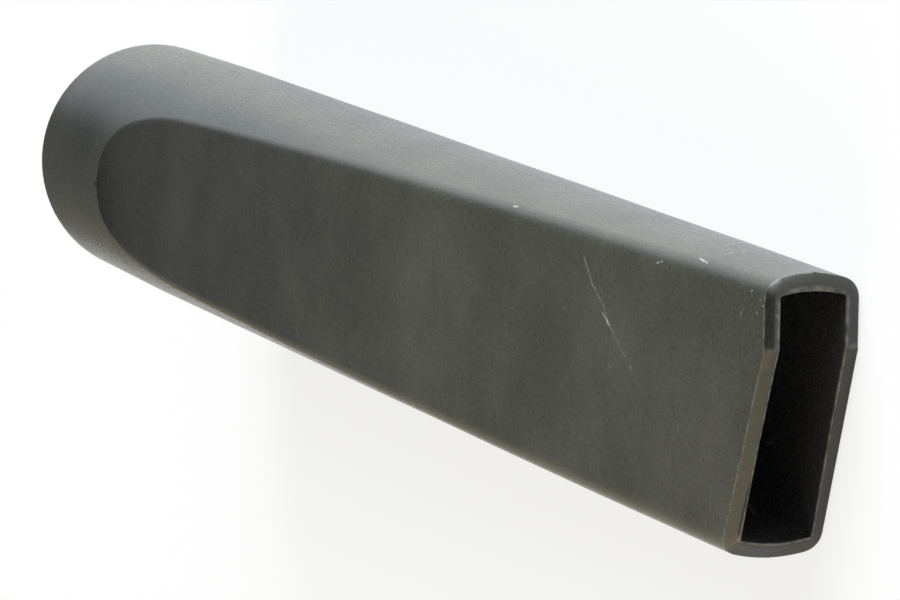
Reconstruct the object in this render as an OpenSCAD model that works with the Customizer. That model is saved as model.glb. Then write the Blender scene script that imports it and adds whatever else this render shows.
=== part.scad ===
// Long flat nozzle for a vacuum cleaner, moulded in one piece.
// X runs from the round socket to the flat mouth and Z is up.
// The origin is the middle of the socket's open end.
// The nozzle lies on one of its two flat sides, as it comes to rest.

/* [Whole nozzle] */
// Length from the socket's open end to the tip of the mouth
length = 310; // [260:5:360]
// Thickness of the rounded narrow sides
wall = 1.9; // [1.6:0.1:2.4]
// Thickness of the two flat sides
flat_wall = 1.7; // [1.6:0.1:2.2]

/* [Socket] */
// Outside diameter of the round socket
socket_d = 39; // [38:0.5:42]
// Diameter of the bore that takes the vacuum tube
bore_d = 35; // [34:0.1:35.4]
// Depth of the bore, up to the shoulder that stops the tube
bore_depth = 34; // [26:1:36]
// Width of the shoulder at the bottom of the bore
shoulder = 0.9; // [0.5:0.1:1.2]
// Rounding of the socket's outer rim
rim_r = 0.8; // [0.4:0.1:1.2]

/* [Flat sides] */
// Where the flat sides begin, from the socket's open end
flat_start = 41; // [40:1:50]
// Length of the hollow curve that each flat side begins with
scoop_length = 36; // [26:1:50]
// Thickness over the flat sides at the end of that curve
waist = 28; // [24:0.5:30]
// Rounding of the long edges at the socket's end
edge_r = 2.2; // [1.6:0.1:3]
// Rounding of the long edges at the mouth
mouth_edge_r = 2.4; // [2.1:0.1:3.4]

/* [Mouth] */
// Height of the mouth, over its rounded ends
mouth_height = 34.5; // [31:0.5:37]
// Thickness of the mouth, over its flat sides
mouth_t = 11.8; // [11:0.1:15]
// Where the square end turns into the slanted cut, from the middle
kink = 8.8; // [4:0.2:11]
// Angle of the slanted cut
slant = 24.5; // [15:0.5:32]
// How far the lip's chamfer reaches back at the square end
lip_depth = 1; // [0.7:0.1:1.6]
// Width of that chamfer across the wall
lip_width = 1.1; // [0.8:0.1:1.3]
// How far that chamfer swells out in its middle
lip_crown = 0.1; // [0:0.02:0.14]
// How far the slanted lip is bevelled back beside the kink
bevel_top = 0.9; // [0.4:0.1:1.2]
// How far it is bevelled back at its lower end
bevel = 1.7; // [0.8:0.1:2]
// Width of the slanted lip's bevel across the wall
bevel_width = 1.5; // [0.8:0.1:1.6]

/* [Hidden] */
socket_r = socket_d / 2;
bore_r = bore_d / 2;
mouth_r = mouth_height / 2;
// End of the hollow curve
waist_x = flat_start + scoop_length;
// How fast each flat side runs in towards the axis
flat_slope = (waist - mouth_t) / 2 / (length - waist_x);
// Level of each flat side, were it run back to where the curve begins
scoop_foot = mouth_t / 2 + flat_slope * (length - flat_start);
// The curve inside the duct begins this much before the one outside
scoop_lead = 2;
duct_start = flat_start - scoop_lead;
duct_r = bore_r - shoulder;
duct_foot = scoop_foot + flat_slope * scoop_lead - flat_wall;
duct_edge_r = 0.5;
// Half height of the flat face at the mouth, and the kink as a share of it
mouth_flat = sqrt(pow(mouth_r - mouth_edge_r, 2) - pow(mouth_t / 2 - mouth_edge_r, 2));
kink_share = kink / mouth_flat;
// The slanted cut begins to draw the stations back from here on
shear_start = length - 60;
// The nozzle rests on the end of its round socket and on its mouth
rest_tilt = atan((socket_r - mouth_t / 2) / (length - lip_depth - flat_start));

// Radius of the round sides, x from the socket's open end
function round_r(x) =
    x < flat_start ? socket_r
    : socket_r - (socket_r - mouth_r) * (x - flat_start) / (length - flat_start);

// A quarter of an ellipse, from 1 where the curve begins to 0 where it meets the flat
function scoop(x, start) =
    let (u = min(max((x - start) / scoop_length, 0), 1))
    1 - sqrt(1 - pow(1 - u, 2));

// Half the thickness over the flat sides
function half_t(x) =
    mouth_t / 2 + flat_slope * (length - x)
    + (socket_r - scoop_foot) * scoop(x, flat_start);

// Half the thickness of the duct inside
function duct_t(x) =
    mouth_t / 2 + flat_slope * (length - x) - flat_wall
    + (duct_r - duct_foot) * scoop(x, duct_start);

// Radius of the duct's round sides, which reach the full wall where the curve ends
function duct_round(x) =
    let (u = min(max((x - duct_start) / scoop_length, 0), 1))
    duct_r * (1 - u) + (round_r(waist_x) - wall) * u
    - (round_r(waist_x) - round_r(max(x, waist_x)));

// Rounding of the long edges
function edge_at(x) = edge_r + (mouth_edge_r - edge_r) * min(max(x / length, 0), 1);

// Where the cut at the mouth lies, y from the middle of the mouth
function cut_x(y) = length - max(kink - y, 0) * tan(slant);

// The lip, t from 0 at its foot to 1 at the cut: a crowned chamfer at the square end, and
// below it a flat bevel that grows towards the lower end
function is_square(y) = y > kink - 0.05;
function crown(t) = lip_crown * 4 * t * (1 - t);
function bevel_at(y) =
    bevel_top + (bevel - bevel_top) * min(max((kink - y) / (kink + mouth_r), 0), 1);
function lip_back(y, t) =
    is_square(y) ? lip_depth * (1 - t) - crown(t) : bevel_at(y) * (1 - t);
function lip_trim(y, t) = is_square(y) ? lip_width * t - crown(t) : bevel_width * t;

// Distance from the axis to the skin, at angle a from the middle of a flat side.
// The section is a circle of radius r with two flats at h, its edges rounded by e.
function skin(a, r, h, e) =
    h >= r ? r :
    let (zc = h - e, yc = sqrt(max(pow(r - e, 2) - zc * zc, 0)))
    a < atan2(yc, h) ? h / cos(a) :
    a > atan2(yc, zc) ? r :
    let (p = zc * cos(a) + yc * sin(a), q = zc * sin(a) - yc * cos(a))
    p + sqrt(max(e * e - q * q, 0));

// Angles of the points over one side, which follow the flat's edges and the kink
function angles(r, h, e, round_n, edge_n, low_n, high_n) =
    let (
        cut = h < r,
        zc = h - e,
        yc = cut ? sqrt(max(pow(r - e, 2) - zc * zc, 0)) : 0,
        a1 = max(cut ? atan2(yc, h) : 0, 9),
        a2 = max(cut ? atan2(yc, zc) : 0, a1 + 3),
        t1 = tan(a1),
        tk = t1 * kink_share
    )
    concat(
        [for (i = [0:round_n - 1]) -90 + (90 - a2) * i / round_n],
        [for (i = [0:edge_n - 1]) -a2 + (a2 - a1) * i / edge_n],
        [for (i = [0:low_n - 1]) atan(-t1 + (tk + t1) * i / low_n)],
        [atan(tk - 0.03 * t1)],
        [for (i = [0:high_n - 1]) atan(tk + (t1 - tk) * i / high_n)],
        [for (i = [0:edge_n - 1]) a1 + (a2 - a1) * i / edge_n],
        [for (i = [0:round_n]) a2 + (90 - a2) * i / round_n]
    );

// The same angles round the whole section: over the upper side and back under it
function whole(a) =
    let (n = len(a))
    concat(
        [for (i = [0:n - 2]) [a[i], 1]],
        [for (i = [0:n - 2]) [a[n - 1 - i], -1]]
    );

// Place of a station's point, drawn back towards the mouth to follow the cut
function sheared(s, y) =
    let (u = min(max((s - shear_start) / (length - lip_depth - shear_start), 0), 1))
    s + (cut_x(y) - lip_back(y, 0) - length + lip_depth) * u;

// Height of the skin over the middle line at angle a, trimmed inwards by the lip
function height_at(x, a, trim) =
    sin(a) * skin(abs(a), round_r(x) - trim, half_t(x) - trim, edge_at(x) - trim);

// A point of the body: y is its level on the untrimmed skin, p its angle and side
function body_point(s, y, p, t) =
    let (
        x1 = sheared(s, y),
        trim = lip_trim(y, t),
        y1 = height_at(x1, p[0], trim),
        d = skin(abs(p[0]), round_r(x1) - trim, half_t(x1) - trim, edge_at(x1) - trim)
    )
    [t > 0 ? cut_x(y1) - lip_back(y, t) : sheared(s, y1), y1, p[1] * cos(p[0]) * d];

// Angles and sides of the points round a section that is trimmed inwards
function body_angles(s, trim) =
    whole(angles(round_r(s) - trim, half_t(s) - trim, edge_at(s) - trim, 10, 4, 5, 2));

// One ring of the body, t above 0 on the lip
function body_ring(s, t = 0) =
    let (
        plain = body_angles(s, 0),
        square = body_angles(s, lip_trim(length, t)),
        slanted = body_angles(s, lip_trim(-length, t))
    )
    [for (i = [0:len(plain) - 1])
        let (y = height_at(s, plain[i][0], 0))
        body_point(s, y, is_square(y) ? square[i] : slanted[i], t)];

// The ring that starts the body inside the socket's end
start_ring = [for (p = body_ring(flat_start)) [flat_start - 2, p[1] * 0.97, p[2] * 0.97]];
// The body meets the socket a hair inside its skin
foot_ring = [for (p = body_ring(flat_start)) [flat_start, p[1] * 0.999, p[2] * 0.999]];

// One ring of the duct, straight across
function duct_ring(x) =
    let (r = duct_round(x), h = duct_t(x))
    [for (p = whole(angles(r, h, duct_edge_r, 8, 2, 4, 2)))
        let (d = skin(abs(p[0]), r, h, duct_edge_r))
        [x, d * sin(p[0]), p[1] * d * cos(p[0])]];

// Strips that close a ring from its upper to its lower side
function closing(n) =
    concat(
        [[0, 1, n - 1]],
        [for (i = [1:n / 2 - 2]) [i, i + 1, n - i - 1, n - i]],
        [[n / 2 - 1, n / 2, n / 2 + 1]]
    );

// Skin between rings, closed at the first and the last
module loft(rings) {
    n = len(rings[0]);
    m = len(rings);
    points = [for (r = rings) each r];
    sides = [
        for (j = [0:m - 2], i = [0:n - 1])
            let (k = (i + 1) % n)
            each [
                [j * n + i, j * n + k, (j + 1) * n + k],
                [j * n + i, (j + 1) * n + k, (j + 1) * n + i]
            ]
    ];
    first = [for (f = closing(n)) [for (i = [len(f) - 1:-1:0]) f[i]]];
    last = [for (f = closing(n)) [for (i = f) (m - 1) * n + i]];
    polyhedron(points, concat(first, sides, last), convexity = 6);
}

// Round socket, turned about its axis
module socket() {
    rotate([0, 90, 0])
        rotate_extrude($fn = 96)
            polygon(concat(
                [[0, 0]],
                [for (i = [0:5]) [
                    socket_r - rim_r + rim_r * sin(18 * i),
                    rim_r - rim_r * cos(18 * i)
                ]],
                [[socket_r, flat_start], [0, flat_start]]
            ));
}

// Flat body, from the end of the socket to the mouth
module body() {
    loft(concat(
        [start_ring, foot_ring],
        [for (i = [1:14]) body_ring(flat_start + scoop_length * pow(i / 14, 1.8))],
        [for (i = [1:7]) body_ring(waist_x + (length - lip_depth - waist_x) * i / 7)],
        [for (i = [1:4]) body_ring(length - lip_depth, i / 4)]
    ));
}

// Bore for the tube
module bore() {
    translate([-1, 0, 0])
        rotate([0, 90, 0])
            cylinder(d = bore_d, h = bore_depth + 1, $fn = 96);
}

// Duct from the shoulder to the mouth, round at first and then a narrow slot
module duct() {
    loft(concat(
        [duct_ring(bore_depth - 1)],
        [for (i = [0:11]) duct_ring(duct_start + scoop_length * pow(i / 11, 1.8))],
        [duct_ring(length / 2), duct_ring(length - 40), duct_ring(length + 4)]
    ));
}

module nozzle() {
    color([0.16, 0.165, 0.16])
        rotate([0, rest_tilt, 0])
            difference() {
                union() {
                    socket();
                    body();
                }
                bore();
                duct();
            }
}

nozzle();
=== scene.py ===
"""Long flat vacuum nozzle, one black plastic moulding, lying as it comes to rest.

X runs from the round socket to the slot mouth, Y towards the edge of the mouth that
reaches furthest, Z up. It rests on the end of its socket and on the lip of its mouth,
so the nozzle's own axis dips a little towards the mouth.
"""
import math

import bpy
import numpy as np
from mathutils import Matrix, Vector


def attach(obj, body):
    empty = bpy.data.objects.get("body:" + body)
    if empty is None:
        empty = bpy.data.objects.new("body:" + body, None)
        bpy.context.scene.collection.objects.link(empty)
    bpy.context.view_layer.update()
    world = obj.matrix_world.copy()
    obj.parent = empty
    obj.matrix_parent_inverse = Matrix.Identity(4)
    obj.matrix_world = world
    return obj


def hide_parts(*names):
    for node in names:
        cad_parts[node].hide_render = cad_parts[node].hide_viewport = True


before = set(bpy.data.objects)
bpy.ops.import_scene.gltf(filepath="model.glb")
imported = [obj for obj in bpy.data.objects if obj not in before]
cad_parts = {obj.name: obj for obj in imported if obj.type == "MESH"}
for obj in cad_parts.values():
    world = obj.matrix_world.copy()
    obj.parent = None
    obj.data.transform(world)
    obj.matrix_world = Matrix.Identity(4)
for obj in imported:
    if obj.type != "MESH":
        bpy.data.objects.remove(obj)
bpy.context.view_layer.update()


# Camera
# A long lens close to the mouth, looking along the nozzle and down on it.
# Its right, down and forward directions come from the photograph.

right = Vector((0.24725, 0.013395, -0.968859))
down = Vector((0.125493, -0.991926, 0.018311))
forward = Vector((-0.960791, -0.126112, -0.246935))
lens = bpy.data.cameras.new("camera")
lens.sensor_fit = "HORIZONTAL"
lens.sensor_width = 36.0
lens.lens = 203.51
lens.clip_start = 0.05
lens.clip_end = 20.0
camera = bpy.data.objects.new("camera", lens)
camera.matrix_world = Matrix.Translation((0.8515235, 0.0862896, 0.1660035)) @ Matrix((
    (right.x, -down.x, -forward.x),
    (right.y, -down.y, -forward.y),
    (right.z, -down.z, -forward.z),
)).to_4x4()
bpy.context.scene.collection.objects.link(camera)
bpy.context.scene.camera = camera


# Nozzle
# One moulding with a wall of nearly one thickness all over. A round socket takes the
# tube. Two flat sides begin in it with a hollow curve and run in towards a narrow mouth,
# whose end is square at one edge and then cut on a slant.

LENGTH, KINK, FLAT_HALF = 310.0, 8.8, 14.4317
SOCKET_R, BORE_R, BORE_DEPTH, THROAT_R = 19.5, 17.5, 34.0, 16.6
FLAT_START, SCOOP_END, DUCT_START = 41, 77, 39
CHAMFER_DEPTH, CHAMFER_WIDTH, BEVEL_WIDTH = 0.6, 1.1, 1.4
CREASE = LENGTH - CHAMFER_DEPTH
KINK_SHARE = KINK / FLAT_HALF
LEAN_START = 250
SLANT = math.tan(math.radians(24.5))


def round_r(x):
    """Radius of the round sides: 19.5 mm up to x = 41, then straight to 17.25 at 310."""
    return SOCKET_R - 2.25 * np.clip((x - FLAT_START) / (LENGTH - FLAT_START), 0, 1.1)


def quarter_ellipse(x, start):
    """1 where the hollow curve starts, 0 after 36 mm: 1 - sqrt(1 - (1 - u)^2).

    u grows as a hyperbola over the first half millimetre, which takes the edge off.
    """
    run = np.maximum(x - start, 0)
    u = np.clip((np.sqrt(run ** 2 + 0.09) - 0.3) / 35.7, 0, 1)
    return 1 - np.sqrt(1 - (1 - u) ** 2)


def sink(x):
    """Over the last 80 mm the flats sink by up to 0.22 mm, with the square of the way."""
    return 0.22 * np.clip((x - 230) / 80, 0, 1) ** 2


def half_t(x):
    """Half the thickness over the flats: straight from 14 mm at x = 77 towards 5.9 at 310."""
    slope = 8.1 * (LENGTH - x) / (LENGTH - SCOOP_END)
    return 5.9 + slope + 4.2485 * quarter_ellipse(x, FLAT_START) - sink(x)


def edge_r(x):
    """Rounding of the long edges: 2.2 mm at the socket, 2.4 at the mouth."""
    return 2.2 + 0.2 * np.clip(x / LENGTH, 0, 1)


def duct_r(x):
    """Radius of the duct's round sides: 16.6 mm at x = 39, from x = 77 the skin less 1.9."""
    u = np.clip((x - DUCT_START) / 36, 0, 1)
    skin_r, taper = round_r(SCOOP_END), round_r(SCOOP_END) - round_r(np.maximum(x, SCOOP_END))
    return THROAT_R * (1 - u) + (skin_r - 1.9) * u - taper


def duct_t(x):
    """Half the duct's thickness: the flat's level less 1.7 mm, with its own hollow curve."""
    slope = 8.1 * (LENGTH - x) / (LENGTH - SCOOP_END)
    return 4.2 + slope + 2.979 * quarter_ellipse(x, DUCT_START) - sink(x)


def cut_x(y):
    """The end of the mouth: square above the kink, then 24.5 degrees back."""
    return LENGTH - np.maximum(KINK - y, 0) * SLANT


def skin(a, r, h, e):
    """Distance from the axis to a section's outline at angle a from the flat's middle.

    The section is a circle of radius r cut by flats at h, with corners of radius e:
    h / cos a on the flat, r on the round side, and on the corner the far crossing of
    the ray with the circle of radius e about (sqrt((r - e)^2 - (h - e)^2), h - e).
    """
    a = np.abs(a)
    zc = h - e
    yc = np.sqrt(np.maximum((r - e) ** 2 - zc ** 2, 0))
    along = zc * np.cos(a) + yc * np.sin(a)
    aside = zc * np.sin(a) - yc * np.cos(a)
    corner = along + np.sqrt(np.maximum(e * e - aside ** 2, 0))
    d = np.where(a < np.arctan2(yc, h), h / np.maximum(np.cos(a), 1e-3),
                 np.where(a > np.arctan2(yc, zc), r, corner))
    return np.where(h >= r, r, d)


def side_angles(r, h, e):
    """Angles of one side's points, crowded on the crest, at the corners and at the kink.

    The flat runs over |a| < a1 and the corner over a1..a2. The kink lies at the same
    share of the flat's half width everywhere, so one line of points follows it.
    """
    flat = h < r
    yc = math.sqrt(max((r - e) ** 2 - (h - e) ** 2, 0)) if flat else 0
    a1 = max(math.atan2(yc, h) if flat else 0, math.radians(5))
    a2 = max(math.atan2(yc, h - e) if flat else 0, a1 + math.radians(1.5))
    crest = math.pi / 2 - np.array([0.0, 0.06, 0.12, 0.18, 0.25, 0.35, 0.6, 1.0]) / r
    arc = np.linspace(crest[-1], a2, 20)[1:]
    corner = np.linspace(a2, a1, 11)[1:]
    t1, tk = math.tan(a1), math.tan(a1) * KINK_SHARE
    high = np.arctan(np.linspace(t1, tk, 9)[1:])
    low = np.arctan(np.concatenate([[tk - 0.02 * t1], np.linspace(tk - 0.04 * t1, -t1, 24)]))
    back = -np.concatenate([crest, arc, corner])[::-1][1:]
    return np.concatenate([crest, arc, corner, high, low, back])


def section(r, h, e):
    """Angle and side of each point round a section: over the upper side, back below."""
    a = side_angles(float(r), float(h), float(e))
    return np.concatenate([a[:-1], a[::-1][:-1]]), np.repeat([1.0, -1.0], len(a) - 1)


def outer_ring(s, t=0.0):
    """A ring of the skin at station s; t > 0 are the rings of the lip, 1 at the cut.

    Beyond x = 250 the stations lean back with the cut. The lip is a crowned chamfer, 0.6 mm
    deep and 1.1 mm wide, at the square end. Below the kink it is a bevel 1.4 mm wide
    whose depth grows evenly from 0.4 mm to 0.7 mm at the lower end.
    """
    r, h, e = round_r(s), half_t(s), edge_r(s)
    a, side = section(r, h, e)
    y = np.sin(a) * skin(a, r, h, e)
    square = y > KINK - 0.05
    foot = np.where(square, CHAMFER_DEPTH, 0.4 + 0.3 * np.clip((KINK - y) / 26.05, 0, 1))
    lean = np.clip((s - LEAN_START) / (CREASE - LEAN_START), 0, 1)
    x = s + (cut_x(y) - foot - CREASE) * lean
    if t == 0:
        d = skin(a, round_r(x), half_t(x), edge_r(x))
        y = d * np.sin(a)
        x = s + (cut_x(y) - foot - CREASE) * lean
        return np.stack([x, y, side * d * np.cos(a)], axis=-1)
    crown = 0.3 * t * (1 - t)
    chamfer, bevel = CHAMFER_WIDTH * t - crown, BEVEL_WIDTH * t
    trim = np.where(square, chamfer, bevel)
    a = np.where(square, section(r - chamfer, h - chamfer, e - chamfer)[0],
                 section(r - bevel, h - bevel, e - bevel)[0])
    d = skin(a, round_r(x) - trim, half_t(x) - trim, edge_r(x) - trim)
    back = foot * (1 - t) - np.where(square, crown, 0)
    y = d * np.sin(a)
    return np.stack([cut_x(y) - back, y, side * d * np.cos(a)], axis=-1)


def duct_ring(s, back=None, grow=0.0):
    """A ring of the duct at station s, or a distance back from the cut along the axis."""
    a, side = section(duct_r(s), duct_t(s), 0.4)
    d = skin(a, duct_r(s) + grow, duct_t(s) + grow, 0.4 + grow)
    x = np.full_like(d, s)
    if back is not None:
        x = cut_x(d * np.sin(a)) - back
        d = skin(a, duct_r(x) + grow, duct_t(x) + grow, 0.4 + grow)
    return np.stack([x, d * np.sin(a), side * d * np.cos(a)], axis=-1)


def round_ring(x, r):
    """A plain circle of radius r at station x."""
    a, side = section(r, r + 1, 1)
    return np.stack([np.full_like(a, x), r * np.sin(a), side * r * np.cos(a)], axis=-1)


quarter = np.linspace(0, math.pi / 2, 7)
rings = [round_ring(0.8 - 0.8 * math.cos(q), 18.7 + 0.8 * math.sin(q)) for q in quarter]
rings += [round_ring(x, SOCKET_R) for x in np.linspace(0.8, FLAT_START, 16)[1:]]
rings += [outer_ring(FLAT_START + 36 * u ** 2.2) for u in np.linspace(0, 1, 61)[1:]]
rings += [outer_ring(x) for x in np.linspace(SCOOP_END, 307, 116)[1:]]
rings += [outer_ring(CREASE - b) for b in (1.2, 0.6, 0.25, 0.1, 0.04, 0.0)]
first_lip = len(rings)
rings += [outer_ring(CREASE, t)
          for t in (0.03, 0.08, 0.2, 0.35, 0.5, 0.65, 0.8, 0.92, 0.97, 1.0)]
edge_in = duct_ring(LENGTH, 0.0, 0.1)
rings += [rings[-1] + (edge_in - rings[-1]) * u for u in (0.08, 0.3, 0.7, 1.0)]
first_duct = len(rings)
rings += [duct_ring(LENGTH, 0.03, 0.03), duct_ring(LENGTH, 0.1)]
rings += [duct_ring(LENGTH, b) for b in (0.6, 1.5, 3.0, 5.0, 8.0, 12.0, 18.0)]
rings += [duct_ring(x) for x in np.linspace(275, SCOOP_END, 24)]
rings += [duct_ring(DUCT_START + 36 * u ** 2) for u in np.linspace(1, 0, 25)]
rings += [round_ring(x, THROAT_R) for x in (38.0, 36.0, 34.3, 34.05, BORE_DEPTH)]
rings += [round_ring(BORE_DEPTH, r) for r in (16.65, 16.9, 17.45, BORE_R)]
rings += [round_ring(x, BORE_R) for x in np.linspace(33.7, 0.4, 12)]
rings += [round_ring(0.4 - 0.4 * math.sin(q), BORE_R + 0.4 * (1 - math.cos(q)))
          for q in quarter[1:]]
own = np.stack(rings)

# The mould leaves a fine ridge along both crests, and a nub of flash where it ends
# at the square edge. The flats and crests of so long a moulding aren't quite even.
outside = np.zeros(own.shape[:2])
outside[:first_lip] = 1
out_y = np.sign(own[..., 1])
skin_only = np.ones(own.shape[:2])
skin_only[first_duct:] = 0
x, z = own[..., 0], own[..., 2]
ridge = 0.035 * np.exp(-(z / 0.13) ** 2) * outside
nub = 0.14 * np.exp(-((x - 309.2) / 0.6) ** 2 - ((z + 0.2) / 0.4) ** 2) * (out_y > 0)
swell = 0.16 * np.exp(-((x - 309.5) / 2.5) ** 2 - (z / 3.5) ** 2) * (out_y > 0)
own[..., 1] += out_y * (ridge + (nub + swell) * skin_only)
y = own[..., 1]
long_wave = np.sin(x / 17 + 0.6) * np.sin(y / 9 + 1) + 0.7 * np.sin(x / 7.3 + y / 6)
fade = np.clip((x - 80) / 30, 0, 1) * np.clip((300 - x) / 20, 0, 1) * outside
own[..., 2] += np.sign(z) * 0.02 * long_wave * fade * (np.abs(z) > 3)
own[..., 1] += out_y * 0.018 * np.sin(x / 13 + z / 3) * fade

tilt = math.atan(13.6 / 268)
n_rings, n_round = own.shape[:2]
flat_own = own.reshape(-1, 3)
place = np.stack([
    flat_own[:, 0] * math.cos(tilt) + flat_own[:, 2] * math.sin(tilt),
    flat_own[:, 1],
    flat_own[:, 2] * math.cos(tilt) - flat_own[:, 0] * math.sin(tilt),
], axis=-1) / 1000

i = np.arange(n_rings)[:, None]
j = np.arange(n_round)[None, :]
i2, j2 = (i + 1) % n_rings, (j + 1) % n_round
corners = (i * n_round + j, i2 * n_round + j, i2 * n_round + j2, i * n_round + j2)
faces = np.stack(np.broadcast_arrays(*corners), axis=-1).reshape(-1, 4)
mesh = bpy.data.meshes.new("nozzle_skin")
mesh.from_pydata(place.tolist(), [], faces.tolist())
mesh.polygons.foreach_set("use_smooth", np.ones(len(faces), dtype=bool))
mesh.update()
nozzle = bpy.data.objects.new("nozzle_skin", mesh)
bpy.context.scene.collection.objects.link(nozzle)
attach(nozzle, "root")
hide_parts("nozzle")

# Worn edges show as pale lines along the lip's outer crease, round the slot and at the
# kink. The lip and the duct get painted shade. These masks are kept on the points.
worn = np.zeros(own.shape[:2])
worn[first_lip - 3:first_lip + 1] = 1.0
worn[first_duct - 2:first_duct + 2] = 0.8
at_kink = np.abs(own[..., 1] - KINK) < 0.12
worn[first_lip:first_duct][at_kink[first_lip:first_duct]] = 0.7
lip = np.zeros(own.shape[:2])
lip[first_lip + 1:first_duct] = 1.0
duct = np.zeros(own.shape[:2])
duct[first_duct + 2:] = 1.0
duct[own[..., 0] < BORE_DEPTH] = 0.0
for name, mask in (("worn", worn), ("lip", lip), ("duct", duct)):
    layer = mesh.attributes.new(name, "FLOAT", "POINT")
    layer.data.foreach_set("value", mask.reshape(-1).astype(np.float32))

plastic = bpy.data.materials.new("black_plastic")
plastic.use_nodes = True
tree = plastic.node_tree
shader = tree.nodes["Principled BSDF"]


def put(kind, values=None, **settings):
    """A node of the plastic; values fill or link its inputs, by name or by place."""
    made = tree.nodes.new(kind)
    for name, value in settings.items():
        setattr(made, name, value)
    for socket, value in (values or {}).items():
        if isinstance(value, bpy.types.NodeSocket):
            tree.links.new(value, made.inputs[socket])
        else:
            made.inputs[socket].default_value = value
    return made


def sums(operation, a, b):
    """One step of arithmetic on values."""
    return put("ShaderNodeMath", {0: a, 1: b}, operation=operation).outputs[0]


def vectors(operation, a, b):
    """One step of arithmetic on vectors."""
    return put("ShaderNodeVectorMath", {0: a, 1: b}, operation=operation).outputs[0]


def between(value, low, high, to_low=0.0, to_high=1.0):
    """A smooth step from to_low to to_high as value goes from low to high."""
    step = put("ShaderNodeMapRange", {"Value": value, "From Min": low, "From Max": high,
                                      "To Min": to_low, "To Max": to_high},
               interpolation_type="SMOOTHSTEP")
    return step.outputs[0]


def blend(share, a, b):
    """Colour a, and colour b where share is 1."""
    mix = put("ShaderNodeMix", {"Factor": share}, data_type="RGBA")
    for socket, colour in ((6, a), (7, b)):
        if isinstance(colour, bpy.types.NodeSocket):
            tree.links.new(colour, mix.inputs[socket])
        else:
            mix.inputs[socket].default_value = (*colour, 1)
    return mix.outputs[2]


def noise(scale, detail, vector, roughness=0.55):
    """Cloudy noise with scale features to the millimetre."""
    return put("ShaderNodeTexNoise", {"Vector": vector, "Scale": scale, "Detail": detail,
                                      "Roughness": roughness}).outputs[0]


place_mm = put("ShaderNodeMapping", {
    "Vector": put("ShaderNodeTexCoord").outputs["Object"],
    "Rotation": (0, -tilt, 0), "Scale": (1000, 1000, 1000)}).outputs[0]
drawn_mm = vectors("MULTIPLY", place_mm, (0.05, 1, 1))
grain = noise(2.3, 3.0, place_mm, 0.6)
fine = noise(6.5, 2.0, place_mm)
cloud = noise(0.045, 4.0, place_mm)
drawn = noise(1.6, 3.0, drawn_mm)

# Scratches and ticks are lines between points of the skin, a few hundredths deep; the
# distance to the nearest one, over its half width, is 1 at its edge.
marks = bpy.data.node_groups.new("mark", "ShaderNodeTree")
for name, kind in (("Place", "NodeSocketVector"), ("Start", "NodeSocketVector"),
                   ("Run", "NodeSocketVector"), ("Share", "NodeSocketVector"),
                   ("Half", "NodeSocketFloat")):
    marks.interface.new_socket(name, in_out="INPUT", socket_type=kind)
marks.interface.new_socket("Reach", in_out="OUTPUT", socket_type="NodeSocketFloat")
entry, leave = marks.nodes.new("NodeGroupInput"), marks.nodes.new("NodeGroupOutput")
off = marks.nodes.new("ShaderNodeVectorMath")
off.operation = "SUBTRACT"
along = marks.nodes.new("ShaderNodeVectorMath")
along.operation = "DOT_PRODUCT"
held = marks.nodes.new("ShaderNodeClamp")
foot_point = marks.nodes.new("ShaderNodeVectorMath")
foot_point.operation = "SCALE"
gap = marks.nodes.new("ShaderNodeVectorMath")
gap.operation = "DISTANCE"
reach = marks.nodes.new("ShaderNodeMath")
reach.operation = "DIVIDE"
given = entry.outputs
for start, end in ((given["Place"], off.inputs[0]), (given["Start"], off.inputs[1]),
                   (off.outputs[0], along.inputs[0]), (given["Share"], along.inputs[1]),
                   (along.outputs["Value"], held.inputs[0]),
                   (given["Run"], foot_point.inputs[0]),
                   (held.outputs[0], foot_point.inputs["Scale"]),
                   (off.outputs[0], gap.inputs[0]), (foot_point.outputs[0], gap.inputs[1]),
                   (gap.outputs["Value"], reach.inputs[0]), (given["Half"], reach.inputs[1]),
                   (reach.outputs[0], leave.inputs[0])):
    marks.links.new(start, end)


def mark(start, run, half):
    """Distance to the line that runs from start, over its half width."""
    one = put("ShaderNodeGroup", {"Place": shaken, "Start": start, "Run": run, "Half": half,
                                  "Share": run / run.length_squared}, node_tree=marks)
    return one.outputs[0]


long_scratch = [(252.5, 12.7, 7.9), (255.4, 9.7, 7.8), (259.3, 7.6, 7.7), (261.2, 5.6, 7.6),
                (266.0, 2.6, 7.4), (271.1, 0.0, 7.3), (273.5, -2.6, 7.2), (276.4, -7.2, 7.1),
                (279.2, -11.1, 7.0)]
lines = [(a, b, 0.115) for a, b in zip(long_scratch[:-1], long_scratch[1:])]
lines += [((259.0, 6.6, 7.7), (261.1, 5.5, 7.6), 0.20),
          ((261.7, 0.5, 7.6), (262.4, 0.2, 7.5), 0.14),
          ((276.5, 2.8, 7.1), (277.2, 2.5, 7.0), 0.12),
          ((280.6, -2.1, 6.9), (281.3, -2.5, 6.9), 0.12),
          ((283.6, -3.5, 6.8), (284.2, -3.9, 6.8), 0.12),
          ((302.5, 11.8, 6.0), (303.3, 12.7, 6.0), 0.11),
          ((287.0, 16.6, 5.4), (290.1, 16.4, 5.6), 0.20),
          ((275.1, 17.5, 1.4), (275.7, 17.5, 0.3), 0.12),
          ((283.2, 17.5, 0.9), (281.6, 17.5, -0.9), 0.12),
          ((288.7, 17.2, 2.9), (288.2, 17.4, 0.4), 0.14),
          ((288.2, 17.4, 0.4), (290.8, 17.3, -1.7), 0.12),
          ((224.6, 16.0, 8.0), (226.7, 16.0, 7.8), 0.20),
          ((276.2, 14.7, 7.1), (278.1, 15.2, 6.9), 0.17)]
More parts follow.
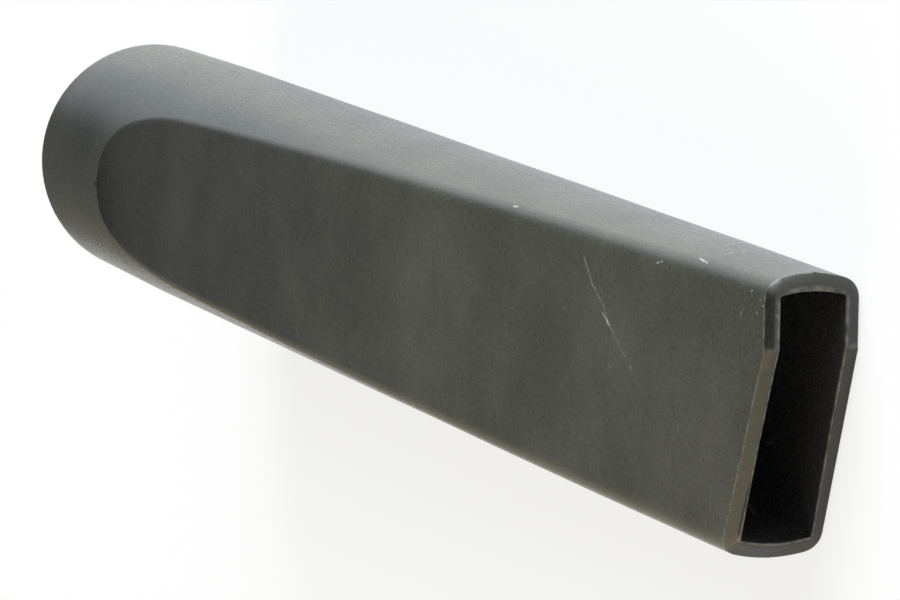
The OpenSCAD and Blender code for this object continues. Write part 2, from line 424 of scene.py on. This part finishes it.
dots = [(259.6, 7.8, 7.7), (268.7, 1.1, 7.3), (305.4, 15.0, 5.8), (308.0, 14.2, 5.7),
        (308.9, 13.6, 5.7), (307.2, 12.7, 5.8), (300.4, -11.1, 6.0), (300.2, -12.3, 5.6),
        (300.0, -12.8, 5.8), (299.3, -13.8, 6.0), (299.4, -14.3, 5.3), (301.3, -10.2, 5.3)]
lines += [(dot, (dot[0] + 0.25, dot[1] + 0.1, dot[2]), 0.13) for dot in dots]
wobble = vectors("SUBTRACT", noise(1.4, 2.0, place_mm), (0.5, 0.5, 0.5))
shaken = vectors("ADD", vectors("MULTIPLY", wobble, (0.22, 0.22, 0.22)), place_mm)
nearest = 1000.0
for start, end, half in lines:
    nearest = sums("MINIMUM", nearest, mark(Vector(start), Vector(end) - Vector(start), half))
broken = between(noise(0.9, 3.0, place_mm), 0.28, 0.56)
scored = sums("MULTIPLY", between(nearest, 1.0, 0.35), broken)

# Specks of lint and burr, only in patches near the mouth.
cells = put("ShaderNodeTexVoronoi", {"Vector": place_mm, "Scale": 0.42}, feature="F1")
along_x = put("ShaderNodeSeparateXYZ", {0: place_mm}).outputs[0]
patches = between(noise(0.09, 2.0, place_mm), 0.5, 0.62)
speck = sums("MULTIPLY", between(cells.outputs["Distance"], 0.075, 0.04),
             sums("MULTIPLY", patches, between(along_x, 235, 300)))
rubbed = sums("MULTIPLY", put("ShaderNodeAttribute", attribute_name="worn").outputs["Fac"],
              between(noise(0.7, 3.0, place_mm), 0.38, 0.6))
on_lip = put("ShaderNodeAttribute", attribute_name="lip").outputs["Fac"]
in_duct = put("ShaderNodeAttribute", attribute_name="duct").outputs["Fac"]
speck = sums("MULTIPLY", speck, sums("SUBTRACT", 1.0, in_duct))

# The plastic is near black at the socket and paler towards the mouth. A trace of copper
# was rubbed off on the lip at the kink.
tone = sums("ADD", sums("MULTIPLY", grain, 0.25), sums("MULTIPLY", cloud, 0.35))
tone = sums("ADD", tone, sums("MULTIPLY", fine, 0.4))
socket_end_tone = blend(between(tone, 0.38, 0.62), (0.0120, 0.0120, 0.0110), (0.0330, 0.0322, 0.0285))
mouth_end_tone = blend(between(tone, 0.36, 0.64), (0.0300, 0.0292, 0.0245), (0.0820, 0.0800, 0.0670))
colour = blend(between(along_x, 40, 230), socket_end_tone, mouth_end_tone)
# Painted shade: the lip is painted darker, for the dark band its chamfer shows.
colour = blend(sums("MULTIPLY", on_lip, 0.85), colour, (0.0135, 0.0130, 0.0115))
# Painted shade: the inside of the duct is painted darker, as shade in a recess.
colour = blend(in_duct, colour, (0.0110, 0.0105, 0.0095))
near_kink = mark(Vector((309.7, 8.5, 5.3)), Vector((-0.8, -1.8, 0)), 0.7)
copper = between(near_kink, 1.0, 0.3, 0.0, 0.6)
colour = blend(copper, colour, (0.070, 0.042, 0.026))
colour = blend(sums("MULTIPLY", speck, 0.7), colour, (0.30, 0.29, 0.26))
colour = blend(sums("MULTIPLY", scored, 0.9), colour, (0.40, 0.40, 0.37))
colour = blend(sums("MULTIPLY", rubbed, 0.6), colour, (0.20, 0.19, 0.165))
tree.links.new(colour, shader.inputs["Base Color"])
shader.inputs["IOR"].default_value = 1.6
shader.inputs["Sheen Weight"].default_value = 0.06
shader.inputs["Sheen Roughness"].default_value = 0.35
rough = sums("ADD", between(grain, 0.3, 0.7, 0.20, 0.34), sums("MULTIPLY", drawn, 0.06))
tree.links.new(sums("ADD", rough, sums("MULTIPLY", scored, 0.15)), shader.inputs["Roughness"])
height = sums("ADD", sums("MULTIPLY", grain, 0.9), sums("MULTIPLY", fine, 0.35))
height = sums("ADD", height, sums("MULTIPLY", scored, -0.9))
height = sums("ADD", height, sums("MULTIPLY", speck, 0.8))
bump = put("ShaderNodeBump", {"Strength": between(on_lip, 0.0, 1.0, 0.5, 0.22),
                              "Distance": 0.000028, "Height": height})
tree.links.new(bump.outputs[0], shader.inputs["Normal"])
mesh.materials.append(plastic)


# Floor
# A plain white surface that the nozzle rests on. Camera rays, and reflections to a lesser
# part, see it lifted towards white, so its shadow is weak. It lights the nozzle as white
# paint does.

FLOOR_Z = -0.02158
floor_mesh = bpy.data.meshes.new("floor")
floor_mesh.from_pydata([(x, y, FLOOR_Z) for x, y in ((-6, -6), (6, -6), (6, 6), (-6, 6))],
                       [], [(0, 1, 2, 3)])
floor = bpy.data.objects.new("floor", floor_mesh)
bpy.context.scene.collection.objects.link(floor)
paint = bpy.data.materials.new("floor_paint")
paint.use_nodes = True
nodes, links = paint.node_tree.nodes, paint.node_tree.links
nodes["Principled BSDF"].inputs["Base Color"].default_value = (0.9, 0.9, 0.9, 1)
nodes["Principled BSDF"].inputs["Roughness"].default_value = 0.8
white = nodes.new("ShaderNodeEmission")
ray = nodes.new("ShaderNodeLightPath")
share = None
for kind, part in (("Is Camera Ray", 0.8), ("Is Glossy Ray", 0.35),
                   ("Is Transmission Ray", 0.35)):
    step = nodes.new("ShaderNodeMath")
    step.operation = "MULTIPLY_ADD"
    links.new(ray.outputs[kind], step.inputs[0])
    step.inputs[1].default_value = part
    step.inputs[2].default_value = 0
    if share is not None:
        links.new(share, step.inputs[2])
    share = step.outputs[0]
lift = nodes.new("ShaderNodeMixShader")
links.new(share, lift.inputs[0])
links.new(nodes["Principled BSDF"].outputs[0], lift.inputs[1])
links.new(white.outputs[0], lift.inputs[2])
links.new(lift.outputs[0], nodes["Material Output"].inputs["Surface"])
floor_mesh.materials.append(paint)


# Light
# A white table in a dim room, lit from low down. A broad cool window and a paler one lie
# beyond the far edge of the nozzle, a weak one behind its socket, a white one beside the
# camera, and two warm panels on the near side.

bpy.context.scene.view_settings.view_transform = "Standard"
room = bpy.data.worlds.new("room")
bpy.context.scene.world = room
room.use_nodes = True
tree = room.node_tree
sky = tree.nodes["Background"]
toward = tree.nodes.new("ShaderNodeTexCoord").outputs["Generated"]


def panel(height, bearing, spread, colour):
    """Soft light from one side, which fades out at spread degrees from its middle.

    Its height above the table and its bearing, from x towards y, are in degrees too.
    """
    up, turn = math.radians(height), math.radians(bearing)
    facing = tree.nodes.new("ShaderNodeVectorMath")
    facing.operation = "DOT_PRODUCT"
    facing.inputs[1].default_value = (
        math.cos(up) * math.cos(turn), math.cos(up) * math.sin(turn), math.sin(up))
    tree.links.new(toward, facing.inputs[0])
    fade = tree.nodes.new("ShaderNodeMapRange")
    fade.interpolation_type = "SMOOTHSTEP"
    fade.inputs["From Min"].default_value = math.cos(math.radians(spread))
    fade.inputs["From Max"].default_value = math.cos(math.radians(spread / 6))
    tree.links.new(facing.outputs["Value"], fade.inputs["Value"])
    light = tree.nodes.new("ShaderNodeVectorMath")
    light.operation = "SCALE"
    light.inputs[0].default_value = colour
    tree.links.new(fade.outputs[0], light.inputs["Scale"])
    return light.outputs[0]


glow = None
for height, bearing, spread, colour in (
        (90, 0, 180, (0.04, 0.04, 0.04)),
        (10, 90, 48, (5.6, 6.2, 6.6)),
        (36, 95, 34, (1.9, 2.1, 2.2)),
        (5, 152, 26, (0.75, 0.81, 0.84)),
        (8, 50, 48, (2.1, 2.15, 2.15)),
        (15, 280, 48, (1.9, 1.66, 1.1)),
        (20, 240, 48, (1.1, 1.05, 0.75))):
    one = panel(height, bearing, spread, colour)
    if glow is None:
        glow = one
    else:
        both = tree.nodes.new("ShaderNodeVectorMath")
        tree.links.new(glow, both.inputs[0])
        tree.links.new(one, both.inputs[1])
        glow = both.outputs[0]
tree.links.new(glow, sky.inputs["Color"])
sky.inputs["Strength"].default_value = 1.0
